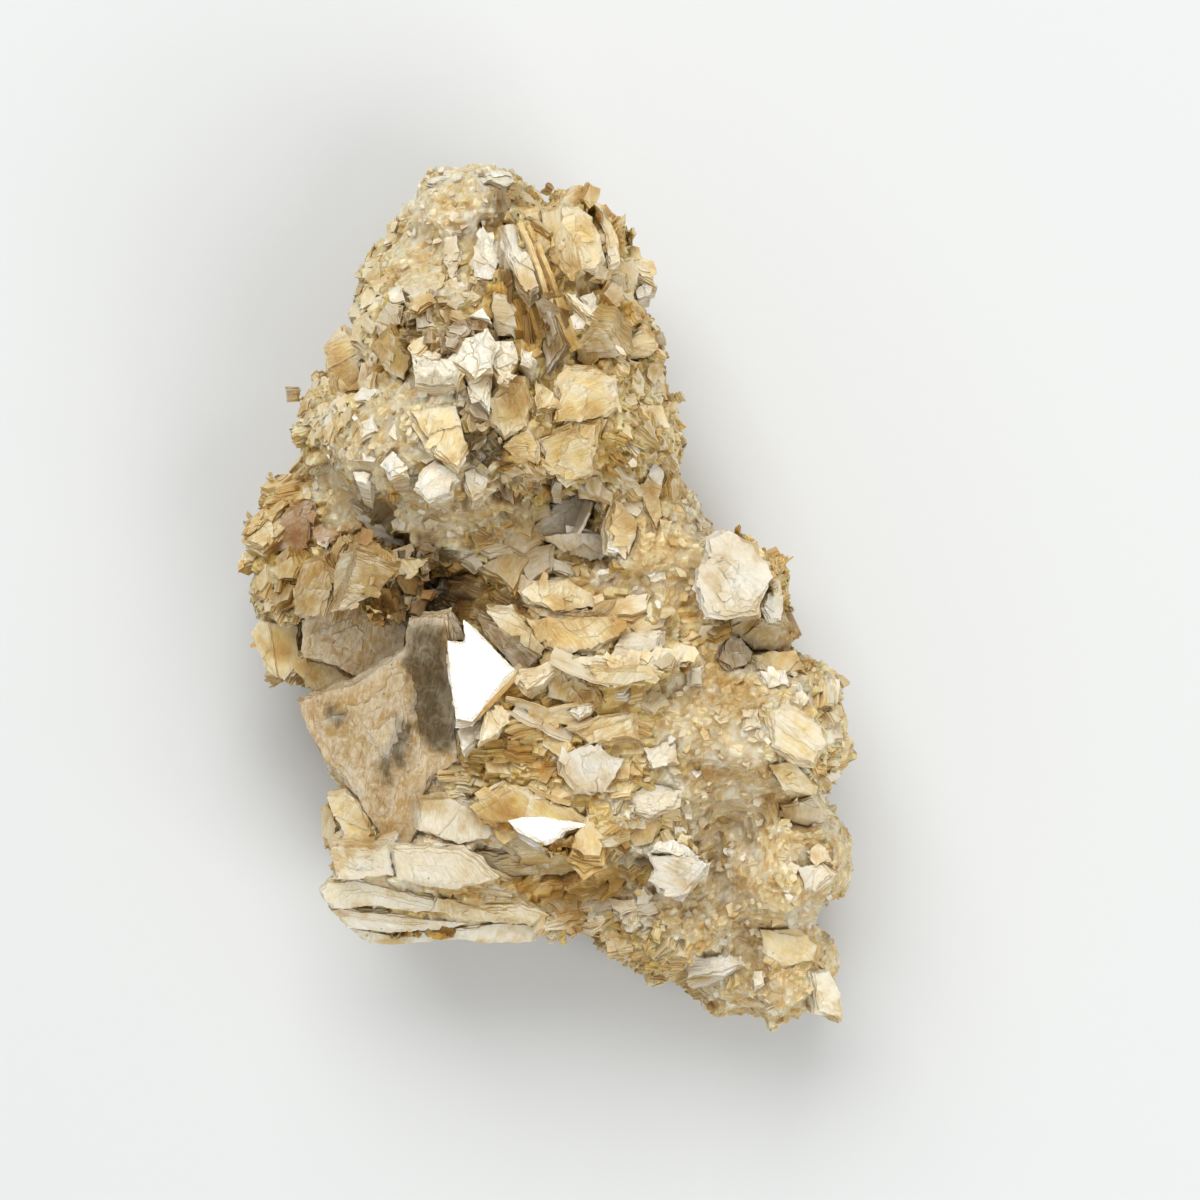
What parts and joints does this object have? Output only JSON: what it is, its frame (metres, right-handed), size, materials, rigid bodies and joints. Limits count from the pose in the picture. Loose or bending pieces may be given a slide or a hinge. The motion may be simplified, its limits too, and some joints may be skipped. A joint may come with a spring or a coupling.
{
  "type": "mica crystal cluster",
  "caption": "Hand-sized cluster of golden muscovite mica books grown into one knobbly mass, lying on its flat broken back.",
  "frame": {"origin": "middle of the bounding box in plan, on the broken back that the cluster rests on", "axes": "+Z out of the display face, +Y along the cluster towards its narrow crown, +X across it towards the wide lobe"},
  "size_m": [0.0957, 0.1361, 0.0599],
  "materials": {
    "mica": "pearly golden flakes, satin to mirror bright on cleavage faces, sugary between them"
  },
  "bodies": {
    "root": {"mica_cluster": "mica"}
  },
  "joints": []
}
